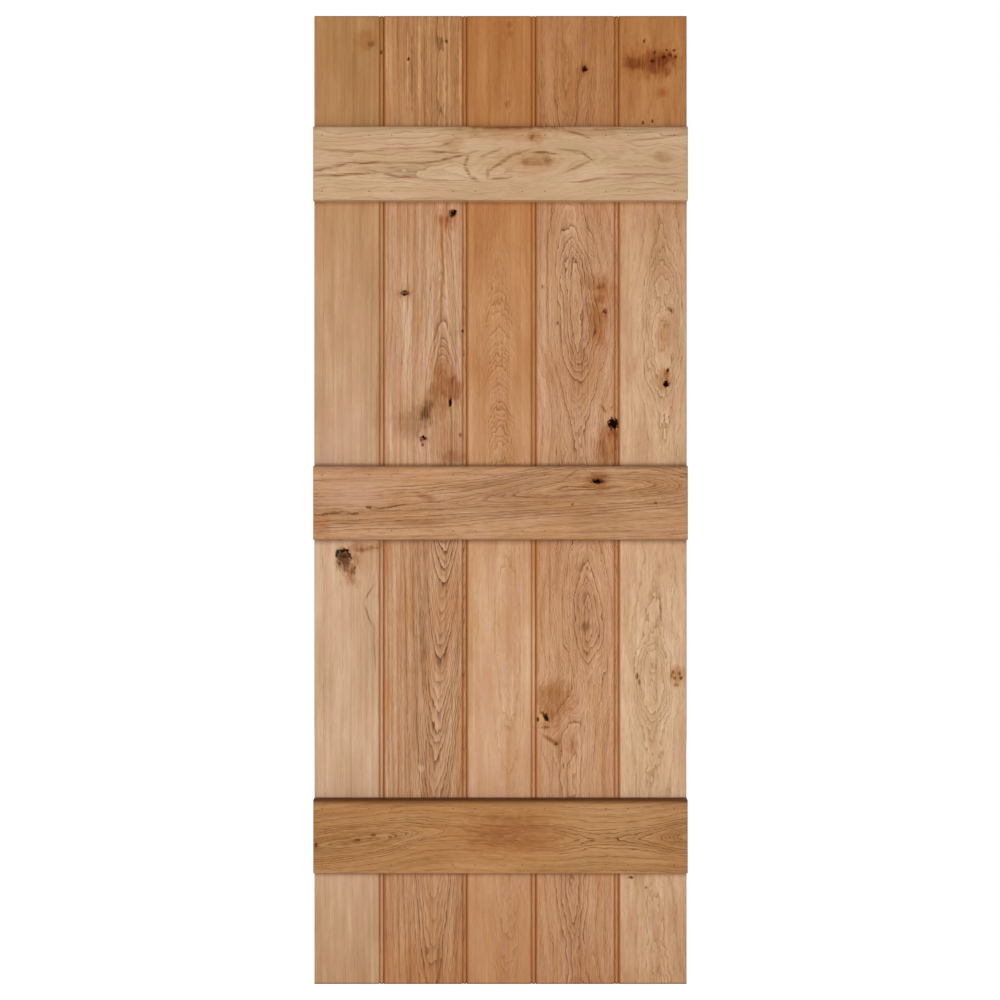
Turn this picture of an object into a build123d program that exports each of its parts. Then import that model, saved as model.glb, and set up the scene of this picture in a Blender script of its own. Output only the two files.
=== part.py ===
from build123d import *
import os

# Ledged barn door leaf in solid oak, millimetres.
# X runs across the leaf, Z runs up it and the ledged side faces -Y.
# The origin is the middle of the leaf's bottom edge.

# leaf
leaf_height = 1981.0
board_thickness = 20.0
ledge_thickness = 24.0

# cover widths of the boards, from one joint to the next, from left to right
first_board_width = 142.0
second_board_width = 170.0
third_board_width = 141.0
fourth_board_width = 170.0
fifth_board_width = 139.0

# tongue and groove joint, with a bead run beside the tongue on both faces
joint_gap = 0.8
tongue_length = 7.0
tongue_thickness = 6.0
tongue_rounding = 0.8
groove_side_clearance = 0.2
groove_end_clearance = 1.0
bead_width = 6.5
quirk_width = 2.4
joint_arris = 0.8
outer_arris = 1.5

# ledges across the back
ledge_width = 150.0
end_ledge_setback = 306.0
middle_ledge_drop = 6.0
ledge_rounding = 3.0

# T-headed finish nails of flat wire, driven through the ledges into the boards and set below the face
nail_board_inset = 18.0
nail_ledge_inset = 18.0
nail_shank_width = 1.6
nail_shank_thickness = 1.4
nail_head_width = 2.8
nail_head_height = 1.2
nail_point_length = 2.5
nail_sink = 1.0
nail_clearance = 0.05
wood_before_nail_point = 5.0

# open knots, where the dead heart of a knot has fallen out
knot_depth = 5.0
knot_floor_share = 0.5

# each board's open knots: distance in from its left line, or from its right line if negative,
# height above the leaf's foot, width across the leaf and length up it
board_knots = [
    [(63.0, 881.0, 22.0, 15.0)],
    [(-29.0, 1578.0, 9.0, 11.0), (42.0, 1414.0, 12.0, 9.0), (-33.5, 1190.0, 6.0, 13.0), (78.5, 1117.0, 9.0, 7.0)],
    [],
    [(-70.5, 1873.0, 8.0, 9.0), (-28.5, 1377.0, 7.0, 7.0), (-12.5, 1146.5, 18.0, 18.0), (21.0, 547.0, 7.0, 15.0)],
    [(-41.5, 1228.5, 10.0, 12.0)],
]

# the middle ledge's open knot, from the ledge's right end and above its centre line
ledge_knot_inset = 186.0
ledge_knot_rise = 43.5
ledge_knot_width = 15.0
ledge_knot_height = 7.0

# planes across the thickness, which is centred on Y = 0
front_y = (board_thickness + ledge_thickness) / 2
meeting_y = front_y - board_thickness
ledge_face_y = meeting_y - ledge_thickness
board_middle_y = (front_y + meeting_y) / 2

# joint lines across the width
board_widths = [
    first_board_width,
    second_board_width,
    third_board_width,
    fourth_board_width,
    fifth_board_width,
]
board_count = len(board_widths)
leaf_width = sum(board_widths)
joints_x = [sum(board_widths[:count]) - leaf_width / 2 for count in range(board_count + 1)]

# heights of the ledges' centre lines
ledge_heights = {
    "top_ledge": leaf_height - end_ledge_setback,
    "middle_ledge": leaf_height / 2 - middle_ledge_drop,
    "bottom_ledge": end_ledge_setback,
}

# nails: one at each corner of every crossing of a board and a ledge, clear of the bead
nail_right_inset = joint_gap + bead_width + quirk_width + nail_board_inset
nail_row_offset = ledge_width / 2 - nail_ledge_inset
nail_head_y = ledge_face_y + nail_sink
nail_point_y = front_y - wood_before_nail_point


def nail_spots(number, height):
    """Where board number is nailed to the ledge whose centre line is at height."""
    left_column = joints_x[number] + nail_board_inset
    right_column = joints_x[number + 1] - nail_right_inset
    rows = (height - nail_row_offset, height + nail_row_offset)
    return [(x, z) for x in (left_column, right_column) for z in rows]


def all_nail_spots(height):
    """Where the ledge whose centre line is at height is nailed."""
    return [spot for number in range(board_count) for spot in nail_spots(number, height)]


def nail_slots(spots, face_y, width, depth):
    """Cuts slots as thick as a nail's wire, into the piece being made, from its face at face_y."""
    with BuildSketch(Plane.XZ.offset(-face_y)) as slots:
        with Locations(*spots):
            Rectangle(width + 2 * nail_clearance, nail_shank_thickness + 2 * nail_clearance)
    extrude(slots.sketch, amount=-depth, mode=Mode.SUBTRACT)


def open_knot(face_y, x, z, width, length):
    """Cuts a tapered elliptical pit, into the piece being made, from its face at face_y."""
    with BuildSketch(Plane.XZ.offset(-face_y)) as mouth:
        with Locations((x, z)):
            Ellipse(width / 2, length / 2)
    with BuildSketch(Plane.XZ.offset(-face_y - knot_depth)) as floor:
        with Locations((x, z)):
            Ellipse(knot_floor_share * width / 2, knot_floor_share * length / 2)
    loft([mouth.sketch, floor.sketch], mode=Mode.SUBTRACT)


def board(number):
    """One board: grooved on its left, beaded and tongued on its right, and plain at the leaf's edges."""
    left = joints_x[number]
    right = joints_x[number + 1]
    grooved = number > 0
    tongued = number < board_count - 1
    shoulder = right - joint_gap if tongued else right
    with BuildPart() as piece:
        with BuildSketch():
            with Locations(((left + shoulder) / 2, board_middle_y)):
                plank = Rectangle(shoulder - left, board_thickness)
            corners = plank.vertices().sort_by(Axis.X)
            fillet(corners[:2], joint_arris if grooved else outer_arris)
            if not tongued:
                fillet(corners[2:], outer_arris)
            if tongued:
                moulding_width = quirk_width + bead_width
                for face_y, inward in ((front_y, -1), (meeting_y, 1)):
                    with Locations((shoulder - moulding_width / 2, face_y + inward * bead_width / 4)):
                        Rectangle(moulding_width, bead_width / 2, mode=Mode.SUBTRACT)
                    with Locations((shoulder - bead_width / 2, face_y + inward * bead_width / 2)):
                        Circle(bead_width / 2)
                with Locations((shoulder + tongue_length / 2, board_middle_y)):
                    tongue = Rectangle(tongue_length, tongue_thickness)
                fillet(tongue.vertices().sort_by(Axis.X)[2:], tongue_rounding)
            if grooved:
                groove_depth = tongue_length - joint_gap + groove_end_clearance
                groove_width = tongue_thickness + 2 * groove_side_clearance
                with Locations((left + groove_depth / 2, board_middle_y)):
                    Rectangle(groove_depth, groove_width, mode=Mode.SUBTRACT)
        extrude(amount=leaf_height)
        for inset, height, width, length in board_knots[number]:
            open_knot(meeting_y, (left if inset > 0 else right) + inset, height, width, length)
        slot_depth = nail_point_y - meeting_y + nail_clearance
        for height in ledge_heights.values():
            nail_slots(nail_spots(number, height), meeting_y, nail_shank_width, slot_depth)
    piece.part.label = f"board_{number + 1}"
    return piece.part


def ledge(name):
    """One ledge across the full width, its outer arrises rounded and its nail slots stepped for the heads."""
    height = ledge_heights[name]
    with BuildPart() as piece:
        with BuildSketch(Plane.XZ.offset(-meeting_y)):
            with Locations((0, height)):
                Rectangle(leaf_width, ledge_width)
        extrude(amount=ledge_thickness)
        fillet(piece.faces().sort_by(Axis.Y)[0].edges(), ledge_rounding)
        if name == "middle_ledge":
            knot_x = leaf_width / 2 - ledge_knot_inset
            open_knot(ledge_face_y, knot_x, height + ledge_knot_rise, ledge_knot_width, ledge_knot_height)
        spots = all_nail_spots(height)
        nail_slots(spots, ledge_face_y, nail_head_width, nail_sink + nail_head_height + nail_clearance)
        nail_slots(spots, ledge_face_y, nail_shank_width, ledge_thickness)
    piece.part.label = name
    return piece.part


def nails(ledge_name):
    """The nails of one ledge, as separate solids."""
    half_head = nail_head_width / 2
    half_shank = nail_shank_width / 2
    length = nail_point_y - nail_head_y
    with BuildPart(mode=Mode.PRIVATE) as nail:
        with BuildSketch():
            with BuildLine():
                Polyline(
                    (-half_head, 0),
                    (half_head, 0),
                    (half_head, nail_head_height),
                    (half_shank, nail_head_height),
                    (half_shank, length - nail_point_length),
                    (0, length),
                    (-half_shank, length - nail_point_length),
                    (-half_shank, nail_head_height),
                    (-half_head, nail_head_height),
                    close=True,
                )
            make_face()
        extrude(amount=nail_shank_thickness / 2, both=True)
    with BuildPart() as group:
        with Locations(*[(x, nail_head_y, z) for x, z in all_nail_spots(ledge_heights[ledge_name])]):
            add(nail.part)
    group.part.label = f"{ledge_name}_nails"
    return group.part


pieces = [board(number) for number in range(board_count)]
pieces += [ledge(name) for name in ledge_heights]
pieces += [nails(name) for name in ledge_heights]

os.makedirs("parts", exist_ok=True)
for piece in pieces:
    export_step(piece, f"parts/{piece.label}.step")
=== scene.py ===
import bpy
from math import radians
from random import Random
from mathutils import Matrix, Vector


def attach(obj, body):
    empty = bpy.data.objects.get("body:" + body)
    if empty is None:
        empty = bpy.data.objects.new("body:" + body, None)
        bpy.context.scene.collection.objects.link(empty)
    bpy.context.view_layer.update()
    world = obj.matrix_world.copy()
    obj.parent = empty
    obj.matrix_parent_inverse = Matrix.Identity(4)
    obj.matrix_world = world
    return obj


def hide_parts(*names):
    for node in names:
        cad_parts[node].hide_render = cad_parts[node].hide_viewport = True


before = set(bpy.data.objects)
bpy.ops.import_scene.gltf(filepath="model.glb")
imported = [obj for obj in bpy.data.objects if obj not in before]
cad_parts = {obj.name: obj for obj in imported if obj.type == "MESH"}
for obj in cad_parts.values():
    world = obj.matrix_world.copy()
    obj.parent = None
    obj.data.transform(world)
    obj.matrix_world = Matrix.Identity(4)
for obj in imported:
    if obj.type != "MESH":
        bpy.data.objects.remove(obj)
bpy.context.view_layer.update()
bpy.ops.object.select_all(action='DESELECT')
print("barn door: frame loaded")

# camera: level with the leaf's middle, square to the ledged side
camera = {
    "distance": 3.4,  # from the boards' face
    "height": 0.9905,
    "aside": -0.001,
    "sensor": 36.0,
    "viewWidth": 2.0465,  # width of the picture at the boards' face
}

# one large soft source in front and a weaker one behind, with the sky as fill
light = {
    "frontPlace": (-0.4, -3.2, 0.75),
    "backPlace": (0.9, 3.2, 1.6),
    "target": (0.0, 0.0, 0.99),
    "size": 2.4,
    "frontPower": 82.0,
    "backPower": 50.0,
    "fill": 0.3,
}

ground = {
    "size": 600.0,
    "grey": 0.9,
    "lift": 0.75,  # light of its own that only the camera sees
}

leafHeight = 1981.0  # millimetres, as are all sizes and places in the oak and its looks
leafWidth = 762.0
boardFace = 2.0  # where the boards meet the ledges
ledgeFace = -22.0
jointGap = 0.8
beadWidth = 6.5
quirkWidth = 2.4
metre = 1000.0

# noises drawn out along the grain: size across and along it, step of the seed, the range that is taken, the
# values that it becomes, detail and roughness; a size or values not given here come from each piece's look
noiseDefaults = {"size": None, "from": (0.1, 0.9), "to": None, "detail": 2.0, "roughness": 0.5}
noises = {
    "wander": {"step": 0},
    "hooks": {"step": 3, "detail": 1.0},
    "ragged": {"size": (2.4, 17.0), "step": 5, "roughness": 0.6},
    "breaks": {"size": (1.7, 24.0), "step": 7, "from": (0.3, 0.65), "to": (0.3, 1.25), "detail": 1.0},
    "streaks": {"step": 11, "detail": 3.0, "roughness": 0.6},
    "clouds": {"size": (42.0, 210.0), "step": 13},
    "fibre": {"size": (0.9, 15.0), "step": 17, "roughness": 0.7},
    "patches": {"size": (30.0, 150.0), "step": 19, "from": (0.48, 0.7)},
    "dashes": {"size": (2.6, 30.0), "step": 23, "from": (0.5, 0.75), "roughness": 0.65},
    "combed": {"size": (2.6, 36.0), "step": 29, "from": (0.3, 0.7), "to": (0.55, 1.15)},
    "rosy": {"size": (22.0, 90.0), "step": 31, "from": (0.48, 0.7)},
    "softRim": {
        "size": (13.0, 20.0), "step": 37, "from": (0.2, 0.8), "to": (-0.5, 0.5),
        "detail": 3.0, "roughness": 0.6,
    },
    "hardRim": {"size": (4.0, 6.0), "step": 41, "from": (0.2, 0.8), "to": (-0.6, 0.6)},
    "sway": {"size": (34.0, 60.0), "step": 43, "from": (0.2, 0.8), "to": (-4.0, 4.0), "detail": 1.0},
}

oak = {
    "seedSpread": (1.0, 1.7, 0.3),  # how a seed moves a noise on each axis
    "rimOutside": 0.35,  # shares of a spot's fading edge outside and inside its rim
    "rimInside": 0.65,
    "sideReach": 100.0,  # the curve of the pith's side runs from -100 to 100 mm
    "streakLength": 520.0,
    "boldFrom": 0.2,  # the boldness of the rings, from the chance of each
    "boldest": 1.25,
    "softEdge": 0.8,  # marks whose edge is wider than this are soft
    "gloss": 0.15,
    "roughness": 0.6,
    "poreDepth": 0.0003,
    "poreStrength": 0.5,
    "poreLines": -0.5,  # how much the rings' lines lower the fibre
    "beadTone": (9.5, 8.0),  # the bead's tone sets in between these distances from the joint
    "ledgeSide": (4.0, 1.0),  # depths between which the painted shadow beside the ledges sets in, on the ledged side only
    "endGrain": (0.6, 0.9),  # how square to the ends a face is where their tone sets in
    "endStrength": 0.45,
}

# painted shade along the joints and quirks, and dark lines along the leaf's edges and ends: offset from
# there, fade before and after the line, strength
edgeShades = {
    "top": (-0.5, 2.5, 2.5, 0.6),
    "foot": (0.7, 3.0, 3.0, 0.8),
    "rightEdge": (0.0, 3.0, 3.0, 0.35),
    "leftEdge": (0.0, 2.4, 2.4, 0.35),
    "beadSide": (-jointGap / 2, 0.6, 2.2, 0.55),
    "quirk": (-jointGap - beadWidth - quirkWidth / 2, 4.2, 2.0, 0.62),
    "grooveSide": (2.0, 3.2, 2.6, 0.92),
}

tints = {
    "blush": "#EED8C2",  # stains that multiply
    "smoke": "#DFCCA8",
    "stroke": "#BFA27E",
    "rust": "#D6B08A",
    "tan": "#C2A480",
    "walnut": "#A2866A",
    "amber": "#DDB98C",
    "haze": "#D7CABA",
    "bead": "#FEF1DF",
    "endGrain": "#8A6442",
    "heart": "#4C2816",  # woods that cover
    "pitch": "#1A0B05",
    "knotBark": "#6A442E",
    "knotWood": "#7A5440",
    "knotGlint": "#8A6248",
    "honey": "#DDAA6E",
    "pinkPatch": "#C9A08C",
    "pinkBlur": "#C99B80",
    "pinkStreak": "#DDB095",
    "paleStreak": "#E6C49E",
    # painted shade in the joint gaps and quirks
    "jointShade": "#A0581A",
    "shadeAndEdgeDark": "#5E3008",  # painted shade and shadow at the ledges, and dark lines along the leaf's edges and ends
    "steel": "#2B2623",
    "steelPale": "#5A4C42",
}


def linear(code):  # sRGB hex to a linear colour
    values = [int(code[k:k + 2], 16) / 255 for k in (1, 3, 5)]
    return tuple(v / 12.92 if v <= 0.04045 else ((v + 0.055) / 1.055) ** 2.4 for v in values) + (1.0,)


def addNode(tree, kind, links=None, **settings):  # a node, its settings and what feeds or fills its sockets
    node = tree.nodes.new("ShaderNode" + kind)
    for name, value in settings.items():
        setattr(node, name, value)
    for key, value in (links or {}).items():
        if isinstance(value, bpy.types.Node):
            value = next(socket for socket in value.outputs if socket.enabled)
        if isinstance(value, bpy.types.NodeSocket):
            tree.links.new(value, node.inputs[key])
        else:
            node.inputs[key].default_value = value
    return node


def maths(tree, operation, *values):
    return addNode(tree, "Math", dict(enumerate(values)), operation=operation)


def mapped(tree, value, taken, given, kind='LINEAR'):  # moves the range taken to the one given
    return addNode(tree, "MapRange", {
        "Value": value, "From Min": taken[0], "From Max": taken[1], "To Min": given[0], "To Max": given[1],
    }, interpolation_type=kind)


def tinted(tree, colour, mask, code, blend='MIX'):
    links = {0: mask, 6: colour, 7: linear(code)}
    return addNode(tree, "Mix", links, data_type='RGBA', blend_type=blend)


def newMaterial(name):
    material = bpy.data.materials.new(name)
    material.use_nodes = True
    material.node_tree.nodes.clear()
    return material, material.node_tree


def bothWays(amount):
    return -amount, amount


def grain(tree, place, look, kind, given=None, size=None):  # one of the noises, with its values moved
    noise = dict(noiseDefaults, **noises[kind])
    across, along = size or noise["size"]
    seed = look["seed"] + noise["step"]
    moved = tuple(spread * seed for spread in oak["seedSpread"])
    scaled = addNode(tree, "VectorMath", {
        0: place["solid"], 1: (1 / across, 1 / along, 1 / across), 2: moved,
    }, operation='MULTIPLY_ADD')
    texture = addNode(tree, "TexNoise", {
        "Vector": scaled, "Scale": 1.0, "Detail": noise["detail"], "Roughness": noise["roughness"],
    })
    return mapped(tree, texture.outputs["Fac"], noise["from"], given or noise["to"])


def handCurve(tree, place, points):  # values given along the piece, whose length runs from 0 to 1
    curve = addNode(tree, "FloatCurve", {"Value": place["share"]})
    line = curve.mapping.curves[0]
    line.points[0].location = points[0]
    line.points[1].location = points[-1]
    for point in points[1:-1]:
        line.points.new(*point)
    curve.mapping.update()
    return curve


def localPoint(tree, point, spot):  # the point as a spot sees it, whose rim is at a distance of 1
    across, along, reachAcross, reachAlong, turn = spot
    return addNode(tree, "Mapping", {
        "Vector": point, "Location": (across, along, 0.0), "Rotation": (0.0, 0.0, radians(turn)),
        "Scale": (reachAcross, reachAlong, 1.0),
    }, vector_type='TEXTURE')


def distance(tree, local):
    return addNode(tree, "VectorMath", {0: local}, operation='LENGTH').outputs["Value"]


def spotMask(tree, point, spots, edge, jitter=0.0):  # each fades over the edge share of its radius
    mask = None
    rim = (1.0 + oak["rimOutside"] * edge, 1.0 - oak["rimInside"] * edge)
    for *spot, strength in spots:
        reach = maths(tree, 'ADD', distance(tree, localPoint(tree, point, spot)), jitter)
        one = mapped(tree, reach, rim, (0.0, strength), 'SMOOTHSTEP')
        mask = one if mask is None else maths(tree, 'MAXIMUM', mask, one)
    return mask


def deflected(tree, place, bends):  # the grain parts round each knot
    across = place["across"]
    for knotAcross, knotAlong, reachAcross, reachAlong, push in bends:
        local = localPoint(tree, place["flat"], (knotAcross, knotAlong, reachAcross, reachAlong, 0.0))
        near = mapped(tree, distance(tree, local), (1.0, 0.0), (0.0, -push * reachAcross), 'SMOOTHSTEP')
        aside = addNode(tree, "SeparateXYZ", {0: local}).outputs["X"]
        across = maths(tree, 'MULTIPLY_ADD', aside, near, across)
    return across


def woodPlace(tree, look):  # where a point lies: across and along the grain, and how deep in the wood
    upright = look["upright"]
    shift = (-look["middle"], -look["face"], 0.0) if upright else (0.0, -look["face"], -look["middle"])
    inMillimetres = addNode(tree, "VectorMath", {
        0: addNode(tree, "TexCoord").outputs["Object"], 1: (metre, metre, metre), 2: shift,
    }, operation='MULTIPLY_ADD')
    axes = addNode(tree, "SeparateXYZ", {0: inMillimetres})
    across = axes.outputs["X" if upright else "Z"]
    along = axes.outputs["Z" if upright else "X"]
    depth = axes.outputs["Y"]
    length, start = (leafHeight, 0.0) if upright else (leafWidth, 0.5)
    return {
        "across": across,
        "along": along,
        "depth": depth,
        "solid": addNode(tree, "CombineXYZ", {0: across, 1: along, 2: depth}),
        "flat": addNode(tree, "CombineXYZ", {0: across, 1: along}),
        "share": maths(tree, 'MULTIPLY_ADD', along, 1 / length, start),
    }


# growth rings about a pith that wanders beside the piece: how dark their lines are, and each ring's chance
def growthRings(tree, place, look, breaks):
    wander = grain(tree, place, look, "wander", bothWays(look["wave"]), look["waveSize"])
    fromPith = maths(tree, 'ADD', deflected(tree, place, look["bends"]), wander)
    fromPith = maths(tree, 'ADD', fromPith, oak["sideReach"])
    pithSide = handCurve(tree, place, look["pithSide"])
    fromPith = maths(tree, 'MULTIPLY_ADD', pithSide, -2 * oak["sideReach"], fromPith)
    pithDepth = handCurve(tree, place, look["pithDepth"])
    underPith = maths(tree, 'MULTIPLY_ADD', pithDepth, look["deepest"], place["depth"])
    offPith = maths(tree, 'ABSOLUTE', fromPith)
    aside = maths(tree, 'POWER', offPith, look["pointed"])
    radius = maths(tree, 'POWER', maths(tree, 'ABSOLUTE', underPith), look["pointed"])
    radius = maths(tree, 'POWER', maths(tree, 'ADD', radius, aside), 1 / look["pointed"])
    for *spot, amount in look["swells"]:
        swell = spotMask(tree, place["flat"], [(*spot, 1.0)], 1.0)
        radius = maths(tree, 'MULTIPLY_ADD', swell, amount, radius)
    hooks = grain(tree, place, look, "hooks", bothWays(look["hooks"]), look["hookSize"])
    ragged = grain(tree, place, look, "ragged", bothWays(look["ragged"]))
    rings = maths(tree, 'MULTIPLY_ADD', radius, 1 / look["ringWidth"], hooks)
    rings = maths(tree, 'ADD', rings, ragged)
    late = maths(tree, 'SUBTRACT', 1.0, maths(tree, 'FRACT', rings))
    early = maths(tree, 'POWER', late, look["ringSharp"])
    early = maths(tree, 'MULTIPLY_ADD', late, look["ringSoft"], early)
    number = maths(tree, 'FLOOR', rings)
    chance = addNode(tree, "TexWhiteNoise", {"W": number}, noise_dimensions='1D').outputs["Value"]
    bold = mapped(tree, chance, (oak["boldFrom"], 1.0), (look["ringLeast"], oak["boldest"]), 'SMOOTHSTEP')
    ringLine = maths(tree, 'MULTIPLY', maths(tree, 'MULTIPLY', early, bold), breaks)
    sideTone = look["sideTone"] * look["ringTone"]
    ringTone = mapped(tree, offPith, look["figure"], (look["ringTone"], sideTone), 'SMOOTHSTEP')
    ringTone = maths(tree, 'MULTIPLY', ringTone, handCurve(tree, place, look["ringAlong"]))
    return maths(tree, 'MULTIPLY', ringLine, ringTone), chance


# tone between the rings: long streaks, slow clouds and fine fibre, then patches, dashes and ring lines
def woodTone(tree, place, look, ringLine, chance, fibre):
    streakSize = (look["streakWidth"], oak["streakLength"])
    streaks = grain(tree, place, look, "streaks", bothWays(look["streaks"]), streakSize)
    clouds = grain(tree, place, look, "clouds", bothWays(look["clouds"]))
    bands = maths(tree, 'MULTIPLY_ADD', chance, look["bands"], -0.5 * look["bands"])
    tone = maths(tree, 'ADD', streaks, clouds)
    for part in (bands, fibre, 0.5):
        tone = maths(tree, 'ADD', tone, part)
    ramp = addNode(tree, "ValToRGB", {"Fac": tone})
    stops = ramp.color_ramp.elements
    stops[0].color = linear(look["pale"])
    stops[1].color = linear(look["deep"])
    stops.new(0.5).color = linear(look["mid"])
    colour = ramp.outputs["Color"]
    for kind, tint in (("patches", "patchColour"), ("rosy", "rosyColour"), ("dashes", "line")):
        colour = tinted(tree, colour, grain(tree, place, look, kind, (0.0, look[kind])), look[tint])
    return tinted(tree, colour, ringLine, look["line"])


# stains, knots and hollows: the soft ones follow the fibres, the hard ones have ragged rims
def markWood(tree, place, look, breaks, colour):
    softRim, hardRim, combed = (grain(tree, place, look, kind) for kind in ("softRim", "hardRim", "combed"))
    covered = 0.0
    for blend, tint, edge, spots in look["marks"]:
        soft = edge > oak["softEdge"]
        mask = spotMask(tree, place["flat"], spots, edge, softRim if soft else hardRim)
        if soft:
            mask = maths(tree, 'MULTIPLY', mask, combed)
        else:
            covered = maths(tree, 'MAXIMUM', mask, covered)
        colour = tinted(tree, colour, mask, tints[tint], blend)
    if look["strokes"]:  # dark lines of the wild grain, which sway
        swayed = maths(tree, 'ADD', place["across"], grain(tree, place, look, "sway"))
        bent = addNode(tree, "CombineXYZ", {0: swayed, 1: place["along"]})
        mask = maths(tree, 'MULTIPLY', spotMask(tree, bent, look["strokes"], 1.0), breaks)
        colour = tinted(tree, colour, mask, tints["stroke"], 'MULTIPLY')
    return colour, covered


def edgeShade(axis, line, kind):
    offset, before, after, strength = edgeShades[kind]
    return axis, line + offset, before, after, strength


# painted shade in the joints, quirks and ledge edges, dark lines along the leaf's ends and outer edges, and
# painted shadow beside the ledges on the ledged side only
def shadeWood(tree, place, look, colour, covered):
    across = place["across"]
    along = place["along"]
    half = look["width"] / 2
    ledgeShadow = [(along, *shade) for shade in look["alongShades"]]
    edgeLinesAndShade = [(across, *shade) for shade in look["acrossShades"]]
    jointShade = []
    if look["upright"]:
        edgeLinesAndShade += [edgeShade(along, leafHeight, "top"), edgeShade(along, 0.0, "foot")]
        if look["middle"] + half < leafWidth / 2:
            first, last = (half - inset for inset in oak["beadTone"])
            bead = mapped(tree, across, (first, last), (0.0, 1.0), 'SMOOTHSTEP')
            colour = tinted(tree, colour, bead, tints["bead"], 'MULTIPLY')
            # painted shade in the joint gap and in the quirk beside the bead
            jointShade += [edgeShade(across, half, "beadSide"), edgeShade(across, half, "quirk")]
        else:
            edgeLinesAndShade.append(edgeShade(across, half, "rightEdge"))
        if look["middle"] - half > -leafWidth / 2:
            # painted shade along the grooved side of the joint
            jointShade.append(edgeShade(across, -half, "grooveSide"))
        else:
            edgeLinesAndShade.append(edgeShade(across, -half, "leftEdge"))
    bare = maths(tree, 'SUBTRACT', 1.0, covered)
    ledgeSide = mapped(tree, place["depth"], oak["ledgeSide"], (0.0, bare))
    layers = ((jointShade, "jointShade", bare), (edgeLinesAndShade, "shadeAndEdgeDark", bare), (ledgeShadow, "shadeAndEdgeDark", ledgeSide))
    for shades, tint, where in layers:
        shaded = 0.0
        for axis, line, before, after, strength in shades:
            rise = mapped(tree, axis, (line - before, line), (0.0, strength), 'SMOOTHSTEP')
            fall = mapped(tree, axis, (line + after, line), (0.0, 1.0), 'SMOOTHSTEP')
            shaded = maths(tree, 'MAXIMUM', maths(tree, 'MULTIPLY', rise, fall), shaded)
        colour = tinted(tree, colour, maths(tree, 'MULTIPLY', shaded, where), tints[tint])
    return colour


# European oak, planed and rubbed with a thin matt oil: growth rings show as fine dark porous lines that
# close in tall arches where the saw ran through them, with long soft streaks between
def oakMaterial(name, look):
    material, tree = newMaterial(name)
    place = woodPlace(tree, look)
    breaks = grain(tree, place, look, "breaks")
    fibre = grain(tree, place, look, "fibre", bothWays(look["fibre"]))
    ringLine, chance = growthRings(tree, place, look, breaks)
    colour = woodTone(tree, place, look, ringLine, chance, fibre)
    colour, covered = markWood(tree, place, look, breaks, colour)

    # the wood is toned more towards the top, and end grain drinks more of the oil
    colour = tinted(tree, colour, handCurve(tree, place, look["warmth"]), look["toned"], 'MULTIPLY')
    colour = shadeWood(tree, place, look, colour, covered)
    facing = addNode(tree, "SeparateXYZ", {0: addNode(tree, "TexCoord").outputs["Normal"]})
    endOn = maths(tree, 'ABSOLUTE', facing.outputs["Z" if look["upright"] else "X"])
    endGrain = mapped(tree, endOn, oak["endGrain"], (0.0, oak["endStrength"]))
    colour = tinted(tree, colour, endGrain, tints["endGrain"], 'MULTIPLY')

    shader = addNode(tree, "BsdfPrincipled", {
        "Base Color": colour,
        "Roughness": oak["roughness"],
        "Specular IOR Level": maths(tree, 'MULTIPLY_ADD', covered, -oak["gloss"], oak["gloss"]),
        "Normal": addNode(tree, "Bump", {
            "Strength": oak["poreStrength"], "Distance": oak["poreDepth"],
            "Height": maths(tree, 'MULTIPLY_ADD', ringLine, oak["poreLines"], fibre),
        }),
    })
    addNode(tree, "OutputMaterial", {"Surface": shader})
    return material


# how each piece of oak looks, in millimetres from the middle line of its seen face; what isn't given for a
# piece is as in the defaults, and curves run from 0 at the foot or left end to 1 at the top or right end
# mark: blend, tint, width of its fading edge, and its spots
# spot and stroke: across, along, half width, half length, turn, strength
# swell: as a spot, and how far it moves the rings; bend: across, along, reach across, reach along, push
# hollow: across, along, width, length; shade: line, fade before and after it, strength
boardDefaults = {
    "upright": True, "face": boardFace,
    "toned": "#E3CBA0", "patchColour": "#C98F5C", "rosyColour": "#D3A085",
    "ringTone": 1.1, "ringLeast": 0.3, "ringSharp": 3.2, "ringSoft": 0.32, "sideTone": 0.4,
    "figure": (25.0, 75.0), "pointed": 1.6, "deepest": 100.0,
    "wave": 5.0, "waveSize": (60.0, 380.0), "hooks": 0.6, "hookSize": (13.0, 42.0), "ragged": 0.26,
    "streaks": 0.4, "streakWidth": 5.0, "bands": 0.25, "clouds": 0.35, "fibre": 0.35, "patches": 0.5,
    "rosy": 0.5, "dashes": 0.3,
    "pithSide": [(0, 0.5), (1, 0.5)],
    "ringAlong": [(0, 1), (1, 1)],
    "warmth": [
        (0, 0.42), (0.06, 0.36), (0.2, 0.05), (0.45, 0.1), (0.6, 0.3), (0.78, 0.6), (0.93, 0.95), (1, 1),
    ],
    "bends": [],
    "swells": [],
    "hollows": [],
    "marks": [],
    "strokes": [],
    "acrossShades": [],
    # painted shadow on the boards along the upper and lower edges of each ledge
    "alongShades": [
        (1750.0, 5.0, 5.0, 0.6), (1059.5, 10.0, 10.0, 0.5), (381.0, 3.0, 3.0, 0.6),
        (1600.0, 10.0, 10.0, 0.4), (909.5, 14.0, 8.0, 0.42), (231.0, 15.0, 3.0, 0.5),
    ],
}

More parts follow.
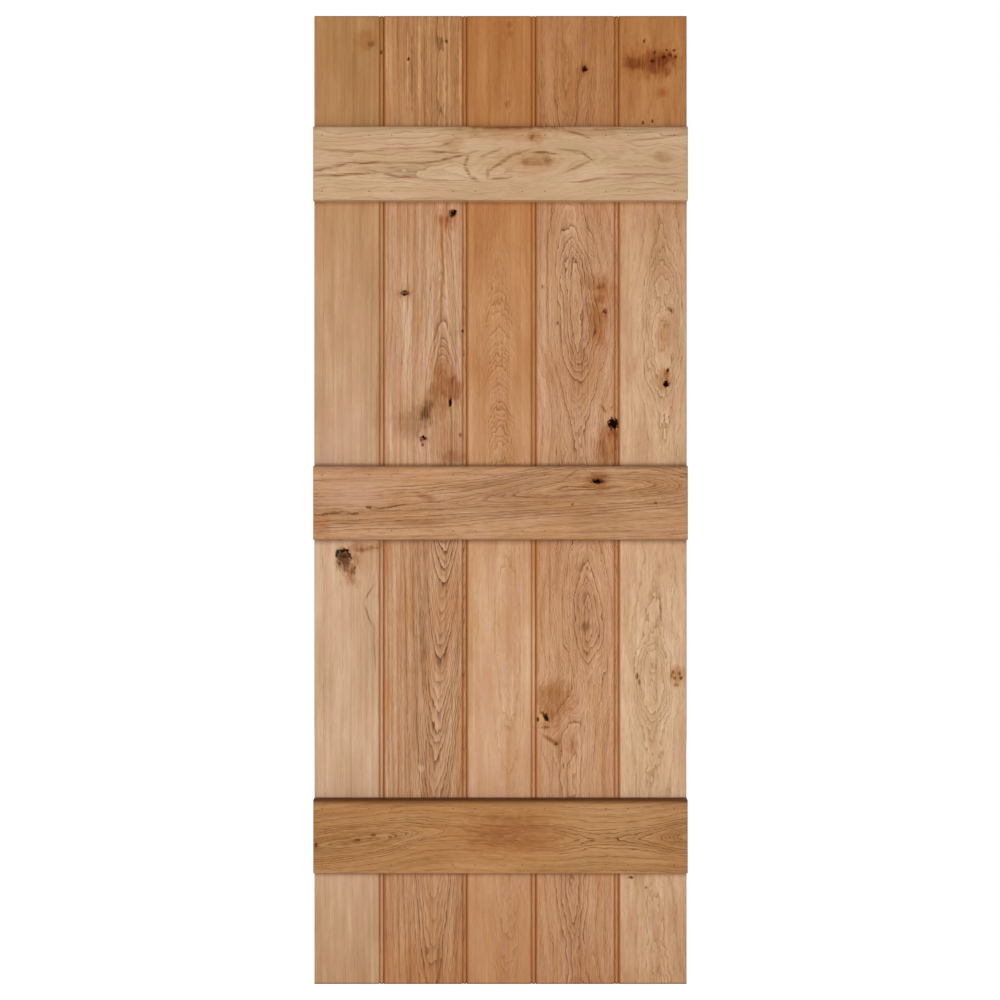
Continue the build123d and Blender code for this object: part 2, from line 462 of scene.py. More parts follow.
boardLooks = {
    "board_1": {
        "seed": 1.3, "middle": -310.0, "width": 142.0,
        "pale": "#E0BFA2", "mid": "#D2AC8A", "deep": "#BC9874", "line": "#A27A52", "patchColour": "#C79E80",
        "ringWidth": 2.6, "ringTone": 0.5, "sideTone": 0.8,
        "bands": 0.12, "clouds": 0.7, "dashes": 0.12,
        "pithDepth": [(0, 0.5), (1, 0.5)],
        "pithSide": [(0, 0.1), (0.5, 0.06), (1, 0.1)],
        "warmth": [
            (0, 0.38), (0.06, 0.3), (0.2, 0.05), (0.45, 0.12), (0.6, 0.3), (0.78, 0.72), (0.93, 0.97),
            (1, 1),
        ],
        "bends": [(-10, 876, 45, 110, 0.8)],
        "swells": [(66, 780, 40, 60, 0, 14)],
        "hollows": [(-8.0, 881.0, 22.0, 15.0)],
        "marks": [
            ('MULTIPLY', "blush", 1.0, [(20, 870, 45, 40, 0, 0.6), (34, 1932, 24, 26, 0, 1)]),
            ('MULTIPLY', "smoke", 1.0, [
                (34, 892, 34, 12, 0, 0.9), (56, 896, 20, 8, 0, 0.9), (14, 868, 10, 16, 20, 0.9),
                (4, 838, 14, 30, 10, 1), (58, 1150, 8, 90, 0, 0.5), (20, 893, 36, 8, 0, 0.9),
            ]),
            ('MULTIPLY', "tan", 1.0, [
                (30, 889, 16, 5, 10, 0.8), (50, 893, 14, 4, -10, 0.7), (3, 836, 6, 18, 8, 0.7),
            ]),
            ('MIX', "pinkPatch", 1.0, [(-40, 1080, 30, 60, 0, 0.5), (0, 1130, 40, 50, 0, 0.4)]),
            ('MULTIPLY', "walnut", 0.9, [
                (-9, 866, 17, 24, 8, 1), (8, 850, 6, 15, 0, 0.9), (46, 1924, 8, 6, 0, 0.6),
            ]),
            ('MIX', "knotBark", 0.6, [(-11, 873, 14, 18, 0, 0.95), (-6, 853, 6, 12, 10, 0.5)]),
            ('MIX', "knotWood", 0.6, [(-9, 868, 6, 8, 0, 0.5)]),
            ('MIX', "pitch", 0.6, [
                (-11, 887, 13, 4, 4, 0.95), (-25, 880, 3, 9, -10, 0.9), (2, 877, 3, 8, 20, 0.8),
                (13, 852, 3, 4, 0, 0.6), (65, 1907, 3, 4, 0, 0.7), (-10, 876, 4, 4, 0, 0.4),
            ]),
        ],
        "strokes": [
            (41, 800, 2.2, 23, -27, 0.7), (41, 754, 2.2, 32, 20, 0.7), (53, 684, 2.2, 54, 2, 0.6),
            (60, 800, 2, 60, 3, 0.4),
        ],
    },
    "board_2": {
        "seed": 4.1, "middle": -154.0, "width": 170.0,
        "pale": "#E5C1A4", "mid": "#CFA37E", "deep": "#AC7C54", "line": "#704828", "toned": "#EFD9B8",
        "ringWidth": 2.1, "ringTone": 1.25, "ringLeast": 0.45, "sideTone": 0.55, "figure": (30.0, 80.0),
        "pointed": 1.8,
        "wave": 4.0, "ragged": 0.18,
        "streaks": 0.75, "bands": 0.3,
        "pithDepth": [
            (0, 0.9), (0.226, 0.68), (0.4, 0.42), (0.552, 0.16), (0.6, 0.16), (0.677, 0.38), (0.73, 0.46),
            (1, 0.52),
        ],
        "pithSide": [
            (0, 0.56), (0.08, 0.575), (0.226, 0.605), (0.36, 0.665), (0.42, 0.69), (0.68, 0.68), (1, 0.66),
        ],
        "ringAlong": [
            (0, 0.45), (0.2, 0.8), (0.45, 0.85), (0.53, 0.36), (0.6, 0.36), (0.68, 0.58), (0.75, 0.4),
            (1, 0.48),
        ],
        "warmth": [
            (0, 0.9), (0.06, 0.75), (0.2, 0.5), (0.45, 0.5), (0.6, 0.15), (0.78, 0.42), (0.93, 1), (1, 1),
        ],
        "bends": [
            (57, 1577, 24, 60, 0.7), (-41, 1414, 22, 55, 0.7), (-5, 1117, 20, 55, 0.7),
            (52, 1190, 16, 45, 0.6),
        ],
        "hollows": [
            (56.0, 1578.0, 9.0, 11.0), (-43.0, 1414.0, 12.0, 9.0), (51.5, 1190.0, 6.0, 13.0),
            (-6.5, 1117.0, 9.0, 7.0),
        ],
        "marks": [
            ('MULTIPLY', "amber", 0.9, [
                (36, 1500, 4.5, 80, 3, 1), (33, 1410, 3.5, 70, -3, 1), (44, 1560, 3, 20, -14, 1),
            ]),
            ('MULTIPLY', "blush", 1.0, [
                (38, 1240, 30, 90, 0, 1), (47, 1566, 24, 24, 0, 1), (-41, 1414, 18, 18, 0, 0.8),
                (40, 1120, 40, 60, 0, 0.7),
            ]),
            ('MULTIPLY', "smoke", 1.0, [
                (14, 1200, 18, 56, -22, 1), (38, 1220, 28, 60, 0, 0.7), (4, 1172, 20, 30, 0, 0.9),
            ]),
            ('MULTIPLY', "haze", 1.0, [(-25, 1150, 40, 36, 0, 1), (-3, 708, 11, 110, 0, 0.9)]),
            ('MULTIPLY', "rust", 1.0, [
                (45, 1564, 14, 9, -20, 0.7), (54, 1548, 3, 10, 20, 0.6), (58, 1079, 24, 14, 0, 0.8),
                (58, 1220, 20, 26, 0, 0.9), (-41, 1414, 12, 9, 0, 0.5), (-5, 1110, 9, 12, 0, 0.5),
            ]),
            ('MIX', "paleStreak", 0.9, [
                (43, 1430, 2.5, 110, 3, 0.7), (64, 1400, 3, 150, 3, 0.5), (5, 1500, 3, 130, 0, 0.3),
                (22, 1290, 2.5, 60, -12, 0.5), (52, 1300, 2.5, 55, 14, 0.5), (72, 1850, 3, 130, 0, 0.8),
                (40, 1850, 3, 110, 0, 0.8), (-12, 1860, 3, 120, 0, 0.8), (-36, 1860, 2, 120, 0, 0.9),
                (56, 1188, 2, 8, 0, 0.9), (-6, 441, 8, 8, 0, 0.7),
            ]),
            ('MULTIPLY', "walnut", 1.0, [
                (4, 1172, 10, 24, -20, 0.9), (52, 1192, 4, 14, 0, 0.6), (-28, 1860, 3, 90, 0, 0.7),
                (1, 450, 3, 70, 0, 0.5),
            ]),
            ('MIX', "heart", 0.7, [
                (57, 1577, 7, 9, 0, 1), (-41, 1414, 9, 6, 0, 0.9), (76, 1337, 3, 4, 0, 0.9),
                (72, 1124, 4, 5, 0, 0.6), (-34, 1893, 3, 4, 0, 0.9), (43, 1929, 3, 4, 0, 0.8),
                (-5, 1104, 3, 4, 0, 0.8), (52, 1190, 3, 9, 0, 0.8), (-1, 1117, 6, 4, -30, 0.9),
            ]),
            ('MIX', "knotGlint", 0.6, [(-40, 1415, 6, 2, 0, 0.8), (-8, 1112, 4, 4, 0, 0.8)]),
            ('MIX', "pitch", 0.5, [
                (59, 1579, 4, 6, 0, 1), (-44, 1411, 5, 2, 0, 0.8), (51, 1190, 2, 8, 0, 1),
                (-4, 1119, 5, 3, -20, 0.95),
            ]),
        ],
    },
    "board_3": {
        "seed": 7.7, "middle": 1.5, "width": 141.0,
        "pale": "#E4BF9C", "mid": "#D2A47B", "deep": "#B98458", "line": "#A06C36", "toned": "#E6C698",
        "ringWidth": 1.6, "ringTone": 0.68, "ringLeast": 0.45, "ringSharp": 2.5, "sideTone": 0.2,
        "figure": (14.0, 36.0), "pointed": 1.8, "deepest": 160.0,
        "wave": 4.0, "hooks": 0.9, "hookSize": (9.0, 22.0), "ragged": 0.4,
        "streaks": 0.38, "bands": 0.1, "clouds": 0.5, "dashes": 0.2,
        "pithDepth": [
            (0, 0.74), (0.09, 0.68), (0.2, 0.66), (0.27, 0.62), (0.38, 0.595), (0.45, 0.63), (0.53, 0.69),
            (0.76, 0.97), (1, 1),
        ],
        "pithSide": [(0, 0.56), (0.45, 0.55), (0.6, 0.48), (1, 0.5)],
        "ringAlong": [
            (0, 0.65), (0.1, 0.6), (0.2, 0.55), (0.5, 0.6), (0.56, 1), (0.72, 1), (0.79, 0.4), (1, 0.35),
        ],
        "warmth": [
            (0, 0.5), (0.06, 0.4), (0.2, 0.02), (0.45, 0.1), (0.56, 0.45), (0.7, 0.7), (0.95, 1), (1, 1),
        ],
        "marks": [
            ('MULTIPLY', "rust", 1.0, [
                (17, 1962, 6, 8, 0, 0.7), (19, 1944, 6, 8, 0, 0.7), (12, 1801, 6, 9, 0, 0.7),
            ]),
        ],
    },
    "board_4": {
        "seed": 11.2, "middle": 157.0, "width": 170.0,
        "pale": "#E8BE9A", "mid": "#D4A47C", "deep": "#AE764B", "line": "#784C28", "toned": "#E8D0AE",
        "ringWidth": 3.0, "ringTone": 0.78, "ringLeast": 0.45, "sideTone": 0.5, "figure": (35.0, 85.0),
        "pointed": 1.5,
        "wave": 9.0, "waveSize": (38.0, 170.0), "hooks": 1.0, "hookSize": (11.0, 30.0), "ragged": 0.32,
        "pithDepth": [
            (0, 0.45), (0.03, 0.5), (0.108, 0.4), (0.17, 0.5), (0.225, 0.5), (0.31, 0.62), (0.371, 0.42),
            (0.429, 0.56), (0.505, 0.7), (0.555, 0.72), (0.612, 0.6), (0.7, 0.34), (0.79, 0.58),
            (0.86, 0.7), (0.927, 0.66), (1, 0.6),
        ],
        "pithSide": [
            (0, 0.5), (0.11, 0.44), (0.23, 0.45), (0.31, 0.6), (0.43, 0.6), (0.6, 0.52), (0.7, 0.5),
            (0.8, 0.41), (1, 0.4),
        ],
        "ringAlong": [
            (0, 0.85), (0.15, 0.8), (0.19, 0.6), (0.23, 0.8), (0.34, 1), (0.9, 1), (0.96, 0.5), (1, 0.4),
        ],
        "warmth": [
            (0, 0.42), (0.06, 0.36), (0.2, 0.25), (0.48, 0.35), (0.56, 0.1), (0.78, 0.3), (0.93, 1), (1, 1),
        ],
        "bends": [(73, 1147, 30, 80, 0.7), (57, 1376, 16, 40, 0.6), (15, 1872, 16, 40, 0.6)],
        "swells": [(-92, 535, 75, 90, 0, -24), (-85, 1180, 50, 110, 0, 16), (55, 1350, 30, 60, 0, -5)],
        "hollows": [
            (14.5, 1873.0, 8.0, 9.0), (56.5, 1377.0, 7.0, 7.0), (72.5, 1146.5, 18.0, 18.0),
            (-64.0, 547.0, 7.0, 15.0),
        ],
        "marks": [
            ('MULTIPLY', "blush", 1.0, [
                (48, 1417, 28, 36, 0, 1), (42, 1335, 26, 60, 0, 1), (58, 1092, 28, 50, 0, 1),
                (-8, 484, 14, 14, 0, 0.6), (15, 1872, 14, 16, 0, 1), (-45, 570, 45, 50, 0, 0.5),
                (-10, 1250, 60, 70, 0, 0.6),
            ]),
            ('MULTIPLY', "smoke", 1.0, [
                (-46, 585, 40, 38, -20, 1), (-56, 560, 26, 40, 0, 1), (40, 1360, 22, 50, 0, 0.9),
                (60, 1100, 16, 34, 0, 0.8), (30, 1440, 30, 20, 0, 0.6), (-58, 502, 24, 6, -32, 0.9),
            ]),
            ('MIX', "pinkStreak", 0.9, [(-58, 1872, 12, 110, 0, 0.7)]),
            ('MULTIPLY', "rust", 1.0, [
                (50, 1425, 15, 9, 0, 0.6), (48, 1400, 10, 12, 0, 0.5), (58, 1376, 9, 11, 0, 0.7),
                (72, 1126, 12, 13, 0, 0.9), (15, 1872, 7, 8, 0, 0.6),
            ]),
            ('MULTIPLY', "tan", 1.0, [
                (20, 730, 12, 11, 0, 0.8), (72, 1131, 10, 7, 0, 0.7), (-58, 502, 19, 4, -32, 0.7),
                (-67, 525, 13, 3, 6, 1), (44, 1425, 12, 3, 10, 0.6), (54, 1177, 3, 9, 30, 1),
            ]),
            ('MIX', "heart", 0.7, [
                (74, 1147, 13, 12, 0, 1), (57, 1376, 4, 5, 0, 0.6), (15, 1872, 6, 6, 0, 0.9),
                (-71, 1427, 3, 4, 0, 0.7), (-41, 1353, 3, 4, 0, 0.7), (21, 850, 3, 5, 0, 0.5),
                (-44, 491, 3.5, 4.5, 40, 0.8),
            ]),
            ('MIX', "honey", 0.6, [(-74, 544, 7, 11, 0, 0.9)]),
            ('MIX', "heart", 0.6, [
                (-64, 546, 4.5, 10, 35, 0.95), (-71, 555, 5, 2.5, 0, 0.7), (-81, 542, 3, 5, 0, 0.9),
            ]),
            ('MIX', "pitch", 0.5, [
                (75, 1147, 12, 11, 0, 1), (16, 1872, 3, 4, 0, 0.8), (-62, 543, 3, 6, 35, 0.8),
            ]),
        ],
    },
    "board_5": {
        "seed": 15.6, "middle": 311.5, "width": 139.0,
        "pale": "#F2D4B2", "mid": "#E1BB95", "deep": "#BD946A", "line": "#8E6A3E", "toned": "#D8B082",
        "patchColour": "#C79A6A",
        "ringWidth": 2.7, "ringTone": 0.58, "ringLeast": 0.35, "ringSharp": 2.8, "sideTone": 0.15,
        "figure": (36.0, 62.0),
        "wave": 12.0, "waveSize": (34.0, 110.0), "hooks": 1.3, "hookSize": (10.0, 24.0), "ragged": 0.4,
        "streaks": 0.3,
        "pithDepth": [
            (0, 0.4), (0.08, 0.5), (0.15, 0.56), (0.24, 0.48), (0.265, 0.44), (0.3125, 0.26), (0.36, 0.44),
            (0.4, 0.5), (0.5, 0.56), (0.589, 0.5), (0.676, 0.26), (0.766, 0.48), (0.858, 0.62), (1, 0.7),
        ],
        "pithSide": [(0, 0.58), (0.12, 0.5), (0.31, 0.51), (0.6, 0.6), (0.8, 0.58), (1, 0.5)],
        "ringAlong": [
            (0, 0.8), (0.2, 0.8), (0.3, 1), (0.4, 0.8), (0.6, 1), (0.85, 0.9), (0.9, 0.2), (1, 0.2),
        ],
        "warmth": [
            (0, 0.4), (0.06, 0.3), (0.2, 0.02), (0.35, 0.12), (0.45, 0.26), (0.6, 0.26), (0.78, 0.45),
            (0.93, 1), (1, 1),
        ],
        "bends": [(28, 1228, 20, 50, 0.7), (50, 630, 28, 60, 0.6)],
        "swells": [(21, 1390, 22, 30, 0, 8)],
        "hollows": [(28.0, 1228.5, 10.0, 12.0)],
        "marks": [
            ('MULTIPLY', "blush", 1.0, [
                (0, 1888, 66, 36, 6, 1), (20, 1824, 16, 12, 0, 1), (21, 1335, 14, 45, 0, 1),
                (50, 630, 18, 26, 0, 0.7), (24, 1236, 18, 26, 0, 1),
            ]),
            ('MULTIPLY', "rust", 1.0, [(20, 1824, 7, 6, 0, 0.5), (28, 1246, 7, 12, 0, 0.9)]),
            ('MULTIPLY', "smoke", 1.0, [(-6, 1886, 62, 26, 6, 1), (50, 630, 15, 20, 0, 0.6)]),
            ('MULTIPLY', "tan", 1.0, [
                (-34, 1884, 30, 13, -4, 0.75), (18, 1889, 32, 14, 12, 1), (8, 1872, 30, 12, -16, 0.6),
            ]),
            ('MULTIPLY', "walnut", 0.9, [
                (42, 638, 3.5, 4.5, 0, 1), (55, 635, 3.5, 4.5, 0, 1), (45, 626, 3.5, 4, 0, 0.9),
                (40, 630, 3, 4, 0, 0.8), (48, 612, 6, 4, 0, 0.6), (35, 1381, 3, 8, 40, 1),
                (-32, 631, 3, 7, 0, 1), (-27, 617, 3, 7, 0, 1),
            ]),
            ('MIX', "heart", 0.8, [
                (-1, 1889, 6, 4, 0, 0.8), (22, 1897, 5, 4, 0, 0.8), (36, 1902, 4, 5, 0, 0.8),
                (47, 1897, 3, 4, 0, 0.7), (-17, 1930, 3, 4, 0, 0.8), (4, 1906, 3, 4, 0, 0.8),
                (44, 1911, 3, 3, 0, 0.8), (28, 1911, 3, 3, 0, 0.8), (-20, 1762, 3, 4, 0, 0.8),
                (-1, 1766, 3, 4, 0, 0.8), (31, 1256, 3, 5, 0, 0.9), (28, 1228, 7, 8, 0, 1),
                (-45, 218, 7, 3, 0, 0.9), (-14, 197, 3, 3, 0, 0.6), (58, 626, 3.5, 4.5, 20, 0.8),
                (16, 759, 2.5, 26, 0, 0.5),
            ]),
            ('MIX', "pitch", 0.5, [(28, 1228, 5, 6, 0, 1)]),
        ],
    },
}

ledgeDefaults = dict(
    boardDefaults, upright=False, face=ledgeFace, width=150.0, waveSize=(60.0, 240.0),
    warmth=[(0, 0), (1, 0)], alongShades=[],
)

ledgeLooks = {
    "top_ledge": {
        "seed": 21.4, "middle": 1675.0,
        "pale": "#E2C39F", "mid": "#D4AF89", "deep": "#C09A70", "line": "#94704A", "patchColour": "#C2A070",
        "ringWidth": 5.0, "ringTone": 0.4, "ringLeast": 0.2, "ringSharp": 2.2, "ringSoft": 0.45,
        "sideTone": 0.8, "figure": (30.0, 70.0), "pointed": 1.7,
        "wave": 13.0, "waveSize": (40.0, 110.0), "hooks": 0.8, "hookSize": (17.0, 46.0), "ragged": 0.14,
        "streaks": 0.22, "bands": 0.1, "clouds": 0.4, "patches": 0.45, "rosy": 0.35, "dashes": 0.15,
        "pithDepth": [
            (0, 0.34), (0.37, 0.24), (0.5, 0.1), (0.579, 0.04), (0.709, 0.3), (0.83, 0.42), (1, 0.45),
        ],
        "pithSide": [(0, 0.41), (0.37, 0.43), (0.5, 0.46), (0.579, 0.475), (0.709, 0.545), (1, 0.58)],
        "ringAlong": [(0, 1), (0.4, 1), (0.48, 0.55), (0.75, 0.55), (0.86, 1), (1, 1)],
        "swells": [
            (14, 333, 34, 34, 0, -6), (4, -62, 22, 26, 0, 9), (-14, -18, 20, 26, 30, -9),
            (10, 30, 18, 26, -30, 9), (6, 98, 22, 22, 0, 12),
        ],
        "marks": [
            ('MULTIPLY', "blush", 1.0, [(64, 30, 20, 110, 0, 0.9), (0, 60, 34, 90, 0, 0.5)]),
            ('MULTIPLY', "smoke", 1.0, [
                (60, 180, 10, 90, 4, 0.6), (4, 72, 14, 34, 0, 0.8), (12, 331, 16, 18, 0, 0.5),
                (40, -95, 14, 22, 0, 0.7), (54, 66, 14, 16, 0, 1),
            ]),
            ('MULTIPLY', "tan", 1.0, [
                (76, 30, 7, 90, 0, 0.8), (77, 38, 5, 60, 0, 1), (52, 64, 8, 5, 20, 0.8),
                (1, 50, 8, 7, 20, 0.5), (6, 97, 13, 8, -10, 0.6),
            ]),
            ('MULTIPLY', "rust", 1.0, [(75, 20, 7, 100, 0, 0.8)]),
        ],
        "strokes": [
            (-6, -340, 3, 50, -11, 0.9), (-1, -260, 2.8, 84, 0, 0.9), (1, -166, 3, 64, -4, 0.9),
            (11, -96, 3, 52, -13, 0.9), (-22, -310, 2.8, 90, -1, 0.9), (-28, -195, 2.8, 74, 8, 0.7),
            (26, -310, 2.8, 84, 2, 0.7), (30, -190, 2.8, 84, -3, 0.6), (37, -112, 3.6, 20, -25, 0.6),
            (21, -115, 3, 46, 3, 0.8), (4, -69, 17, 4, 18, 0.7), (-18, -67, 14, 4, -30, 0.8),
            (-33, -54, 5, 10, 30, 0.6), (20, -20, 3.6, 28, -27, 0.8), (-20, -26, 14, 4, 0, 0.8),
            (-3, -9, 3.6, 30, -38, 0.85), (10, 12, 3.6, 24, -34, 0.85), (-32, 0, 3.6, 26, -10, 0.8),
            (22, 40, 3.2, 26, -14, 0.6), (20, 90, 3.4, 32, 4, 0.8), (27, 145, 3.4, 32, 6, 0.7),
            (16, 176, 3.4, 20, 42, 0.8), (-5, 160, 3.4, 34, -24, 0.7), (60, 158, 3.2, 34, 20, 0.7),
            (70, 230, 3, 74, 0, 0.5), (50, 315, 3, 60, -8, 0.65), (-35, 180, 3, 44, -5, 0.8),
            (-24, 290, 3, 90, 0, 0.6),
        ],
        # painted shade along the ledge's upper edge
        "acrossShades": [(75.0, 16.0, 5.0, 0.3)],
    },
    "middle_ledge": {
        "seed": 27.9, "middle": 984.5,
        "pale": "#D6AA7F", "mid": "#BF8E62", "deep": "#9E6B40", "line": "#633C1F",
        "ringWidth": 2.8, "ringTone": 0.62, "ringSharp": 2.6, "sideTone": 0.6, "figure": (30.0, 80.0),
        "hooks": 0.65,
        "rosy": 0.35, "dashes": 0.4,
        "pithDepth": [(0, 0.25), (0.4, 0.25), (0.75, 0.08), (1, 0.32)],
        "pithSide": [(0, 0.42), (0.4, 0.5), (0.75, 0.66), (1, 0.67)],
        "bends": [(44, 197, 24, 70, 0.8)],
        "hollows": [(43.5, 195.0, 7.0, 15.0)],
        "marks": [
            ('MIX', "pinkBlur", 1.0, [(20, -300, 36, 80, 0, 0.6)]),
            ('MULTIPLY', "blush", 1.0, [(44, 197, 20, 34, 0, 1), (-45, -365, 26, 18, 0, 1)]),
            ('MULTIPLY', "smoke", 1.0, [(42, 197, 18, 34, 0, 0.9)]),
            ('MULTIPLY', "rust", 1.0, [
                (44, 197, 10, 17, 0, 0.5), (-42, -150, 7, 55, 4, 0.4), (12, -150, 7, 22, 14, 0.7),
            ]),
            ('MIX', "heart", 0.8, [
                (44, 197, 6, 12, 0, 1), (-9, -267, 3, 6, 0, 0.8), (-22, -300, 2.5, 13, 0, 0.7),
                (0, 315, 3, 4, 0, 0.6), (-3, 146, 3, 4, 0, 0.6), (-8, -222, 2, 32, -9, 0.6),
                (-21, -345, 2.5, 34, -7, 0.55), (57, 142, 2, 20, -38, 0.35),
            ]),
            ('MIX', "pitch", 0.5, [(44, 195, 4, 8, 0, 1)]),
        ],
        # painted shade along the ledge's upper and lower edges
        "acrossShades": [(75.0, 7.0, 5.0, 0.42), (-75.0, 5.0, 6.0, 0.28)],
    },
    "bottom_ledge": {
        "seed": 33.2, "middle": 306.0,
        "pale": "#D2A270", "mid": "#BF8C57", "deep": "#9A6636", "line": "#653B1A",
        "ringWidth": 2.0, "ringTone": 0.8, "ringSharp": 2.6, "sideTone": 0.6, "figure": (30.0, 80.0),
        "hooks": 0.9, "hookSize": (12.0, 26.0),
        "streaks": 0.3, "patches": 0.35, "rosy": 0.15,
        "pithDepth": [
            (0, 0.12), (0.119, 0.04), (0.32, 0.24), (0.5, 0.3), (0.6, 0.19), (0.709, 0.27), (0.76, 0.31),
            (1, 0.06),
        ],
        "pithSide": [(0, 0.4), (0.15, 0.47), (0.32, 0.56), (0.6, 0.48), (1, 0.5)],
        "ringAlong": [(0, 1), (0.28, 0.9), (0.42, 0.2), (0.6, 0.2), (0.7, 0.9), (1, 1)],
        "warmth": [(0, 0.3), (0.6, 0.2), (0.7, 0), (1, 0)],
        "marks": [
            ('MULTIPLY', "blush", 1.0, [(4, 25, 50, 110, 0, 0.9), (0, 340, 40, 40, 0, 0.5)]),
            ('MULTIPLY', "rust", 1.0, [(6, 30, 26, 60, 0, 0.15)]),
            ('MIX', "heart", 0.8, [
                (-6, -290, 3, 6, 0, 0.7), (3, -259, 3, 7, 0, 0.7), (0, -225, 3, 5, 0, 0.7),
                (-17, -375, 5, 4, 0, 0.8),
            ]),
        ],
        # painted shade on the ledge's upper edge, fading down its face
        "acrossShades": [(75.0, 13.0, 5.0, 0.95), (75.0, 17.0, 5.0, 0.4)],
    },
}


# drawn steel wire, gone dull and dark in the oak's acid
nail = {
    "blotchScale": 900.0,
    "blotchDetail": 3.0,
    "metallic": 0.8,
    "roughness": 0.55,
}


def nailMaterial():
    material, tree = newMaterial("drawnSteelWireDulled")
    blotch = addNode(tree, "TexNoise", {
        "Vector": addNode(tree, "TexCoord").outputs["Object"], "Scale": nail["blotchScale"],
        "Detail": nail["blotchDetail"],
    })
    colour = addNode(tree, "Mix", {
        0: blotch, 6: linear(tints["steel"]), 7: linear(tints["steelPale"]),
    }, data_type='RGBA')
    shader = addNode(tree, "BsdfPrincipled", {
        "Base Color": colour, "Metallic": nail["metallic"], "Roughness": nail["roughness"],
    })
    addNode(tree, "OutputMaterial", {"Surface": shader})
    return material


# open knots: the plain pits of the CAD are broken out to ragged hollows with short drying cracks
hollow = {
    "spread": 0.6,  # half width of a hollow, in widths of the plain pit's mouth
    "depth": 0.0065,  # metres, as are the crack's width and depth and the seam
    "detail": 4,
    "rough": 0.16,
    "smoothing": 0.5,
    "smoothRounds": 2,
    "lobes": 3,
    "lobeShare": (0.45, 0.65),
    "lobeAside": 0.7,
    "lobeAlong": 0.8,
    "lobeTurn": 30.0,
    "cracks": ((0.3, 1.0), (-0.2, -1.0)),  # widths of the pit aside, and the way that each runs
    "crackLength": 1.5,
    "crackReach": (0.5, 0.8),
    "crackWidth": 0.0007,
    "crackDepth": 0.003,
    "crackTurn": 8.0,
    "seam": 0.000001,
    "shading": 30.0,
}


def planCutters(look):  # kind, middle and half size across and along the grain, depth and turn of each
    cutters = []
    luck = Random(look["seed"])
    for across, along, width, length in look["hollows"]:
        half = (hollow["spread"] * width / metre, hollow["spread"] * length / metre)
        for lobe in range(hollow["lobes"]):
            share, aside, upward = 1.0, 0.0, 0.0
            if lobe > 0:
                share = luck.uniform(*hollow["lobeShare"])
                aside = luck.uniform(*bothWays(hollow["lobeAside"]))
                upward = luck.uniform(*bothWays(hollow["lobeAlong"]))
            middle = (across / metre + aside * half[0], along / metre + upward * half[1])
            size = (share * half[0], share * half[1])
            turn = luck.uniform(*bothWays(hollow["lobeTurn"]))
            cutters.append(("lump", middle, size, hollow["depth"] * share, turn))
        for aside, way in hollow["cracks"]:
            reach = hollow["crackLength"] * half[1] * luck.uniform(*hollow["crackReach"])
            middle = ((across + aside * width) / metre, along / metre + way * reach)
            size = (hollow["crackWidth"] / 2, reach)
            turn = luck.uniform(*bothWays(hollow["crackTurn"]))
            cutters.append(("crack", middle, size, hollow["crackDepth"], turn))
    return cutters


def addCutter(look, kind, middle, size, depth, turn, seed):
    if look["upright"]:
        place = (look["middle"] / metre + middle[0], look["face"] / metre, middle[1])
        scale = (size[0], depth, size[1])
    else:
        place = (middle[1], look["face"] / metre, look["middle"] / metre + middle[0])
        scale = (size[1], depth, size[0])
    if kind == "lump":
        bpy.ops.mesh.primitive_ico_sphere_add(subdivisions=hollow["detail"], radius=1.0)
    else:
        bpy.ops.mesh.primitive_cube_add(size=2.0)
    bpy.ops.object.mode_set(mode='EDIT')
    bpy.ops.mesh.select_all(action='SELECT')
    if kind == "lump":
        bpy.ops.transform.vertex_random(offset=hollow["rough"], seed=seed)
        bpy.ops.mesh.vertices_smooth(factor=hollow["smoothing"], repeat=hollow["smoothRounds"])
    origin = (0.0, 0.0, 0.0)
    bpy.ops.transform.resize(value=scale, center_override=origin)
    bpy.ops.transform.rotate(value=radians(turn), orient_axis='Y', center_override=origin)
    bpy.ops.transform.translate(value=place)
    bpy.ops.object.mode_set(mode='OBJECT')
    return bpy.context.active_object


def selectOnly(piece):
    bpy.ops.object.select_all(action='DESELECT')
    bpy.context.view_layer.objects.active = piece
    piece.select_set(True)


def carve(node, look):  # a copy of the solid, welded along its seams, with its hollows cut in one step
    piece = bpy.data.objects.new(node + "_carved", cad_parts[node].data.copy())
    bpy.context.scene.collection.objects.link(piece)
    selectOnly(piece)
    bpy.ops.mesh.customdata_custom_splitnormals_clear()
    bpy.ops.object.mode_set(mode='EDIT')
    bpy.ops.mesh.select_all(action='SELECT')
    bpy.ops.mesh.remove_doubles(threshold=hollow["seam"])
    bpy.ops.object.mode_set(mode='OBJECT')
    cutters = [addCutter(look, *plan, seed) for seed, plan in enumerate(planCutters(look), 1)]
    for cutter in cutters:
        cutter.select_set(True)
    bpy.ops.object.join()
    cutter = bpy.context.active_object
    selectOnly(piece)
    cut = piece.modifiers.new("hollow", 'BOOLEAN')
    cut.object = cutter
    cut.operation = 'DIFFERENCE'
    cut.solver = 'EXACT'
    cut.use_self = True  # the lobes and cracks of a hollow cross each other
    bpy.ops.object.modifier_apply(modifier="hollow")
    bpy.data.objects.remove(cutter)
    bpy.ops.object.shade_smooth_by_angle(angle=radians(hollow["shading"]))
    piece.data.materials.clear()
    return piece


for looks, defaults, slotName in (
    (boardLooks, boardDefaults, "oak_boards"),
    (ledgeLooks, ledgeDefaults, "oak_ledges"),
):
    for node, ownLook in looks.items():
        look = dict(defaults, **ownLook)
        material = oakMaterial("planedOak_" + node, look)
        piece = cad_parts[node]
        if look["hollows"]:
            piece = carve(node, look)
            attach(piece, "root")
            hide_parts(node)
        piece.data.materials.clear()
        piece.data.materials.append(material)
        print("barn door:", node, "finished,", len(piece.data.polygons), "faces")
steel = nailMaterial()
for ledge in ledgeLooks:
    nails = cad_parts[ledge + "_nails"]
    nails.data.materials.clear()
    nails.data.materials.append(steel)
print("barn door: nails finished")


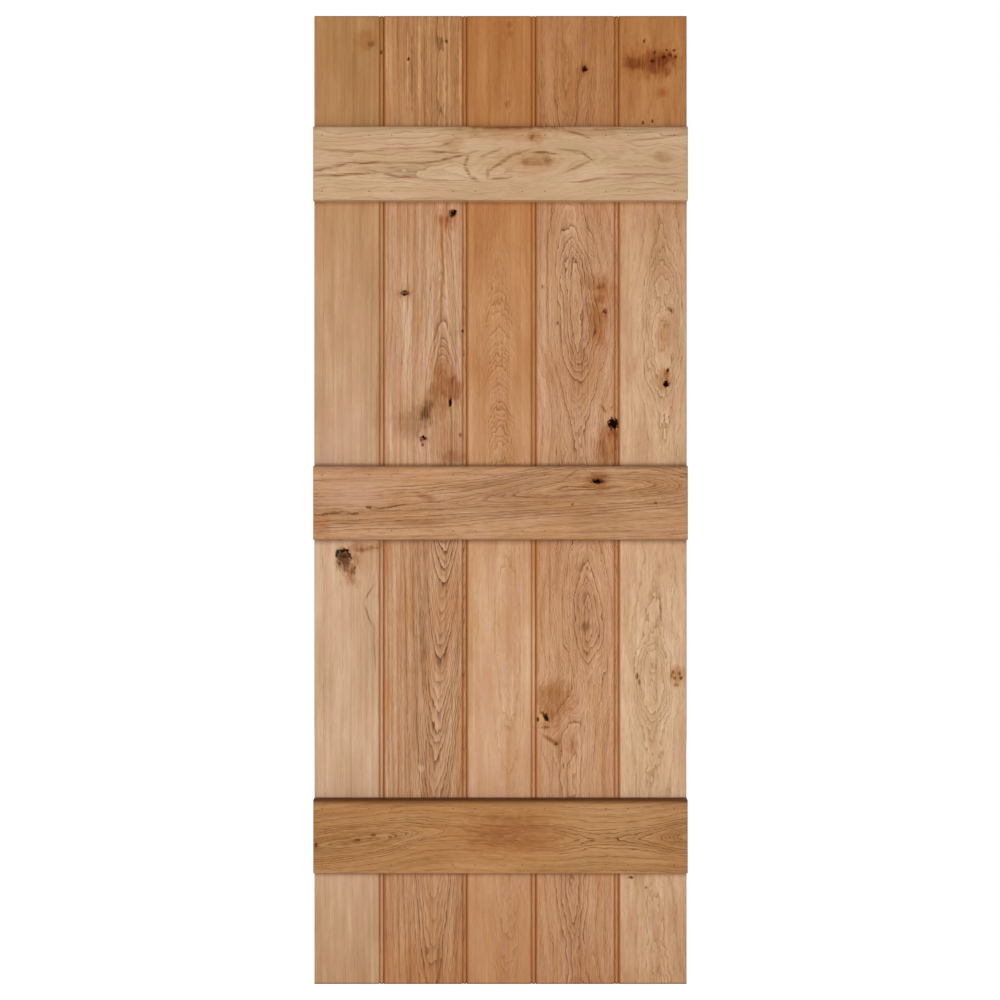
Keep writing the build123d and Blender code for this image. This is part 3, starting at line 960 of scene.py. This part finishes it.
def makeWorld():  # white all round for the camera and for gloss, and a plain sky for the rest
    world = bpy.data.worlds.new("studio")
    bpy.context.scene.world = world
    world.use_nodes = True
    tree = world.node_tree
    tree.nodes.clear()
    ray = addNode(tree, "LightPath").outputs
    seen = maths(tree, 'MAXIMUM', ray["Is Camera Ray"], ray["Is Glossy Ray"])
    seen = maths(tree, 'MAXIMUM', seen, ray["Is Transmission Ray"])
    strength = mapped(tree, seen, (0.0, 1.0), (light["fill"], 1.0))
    sky = addNode(tree, "Background", {"Color": (1.0, 1.0, 1.0, 1.0), "Strength": strength})
    addNode(tree, "OutputWorld", {"Surface": sky})


def makeFloor():
    bpy.ops.mesh.primitive_plane_add(size=ground["size"], location=(0.0, 0.0, 0.0))
    floor = bpy.context.active_object
    floor.name = "floor"
    material, tree = newMaterial("paleFloor")
    seen = addNode(tree, "LightPath").outputs["Is Camera Ray"]
    grey = ground["grey"]
    matt = addNode(tree, "BsdfDiffuse", {"Color": (grey, grey, grey, 1.0)})
    strength = maths(tree, 'MULTIPLY', seen, ground["lift"])
    lift = addNode(tree, "Emission", {"Color": (1.0, 1.0, 1.0, 1.0), "Strength": strength})
    addNode(tree, "OutputMaterial", {"Surface": addNode(tree, "AddShader", {0: matt, 1: lift})})
    floor.data.materials.append(material)


def addLamp(name, place, power):
    lamp = bpy.data.lights.new(name, 'AREA')
    lamp.shape = 'SQUARE'
    lamp.size = light["size"]
    lamp.energy = power
    lampObject = bpy.data.objects.new(name, lamp)
    bpy.context.scene.collection.objects.link(lampObject)
    lampObject.location = place
    aim = Vector(light["target"]) - Vector(place)
    lampObject.rotation_euler = aim.to_track_quat('-Z', 'Y').to_euler()


def addCamera():
    lens = bpy.data.cameras.new("camera")
    lens.sensor_width = camera["sensor"]
    lens.lens = camera["sensor"] * camera["distance"] / camera["viewWidth"]
    eye = bpy.data.objects.new("camera", lens)
    bpy.context.scene.collection.objects.link(eye)
    eye.location = (camera["aside"], boardFace / metre - camera["distance"], camera["height"])
    eye.rotation_euler = (radians(90), 0.0, 0.0)
    bpy.context.scene.camera = eye


makeWorld()
makeFloor()
addLamp("frontLight", light["frontPlace"], light["frontPower"])
addLamp("backLight", light["backPlace"], light["backPower"])
addCamera()
bpy.context.scene.view_settings.view_transform = 'Standard'
print("barn door: camera and light set")
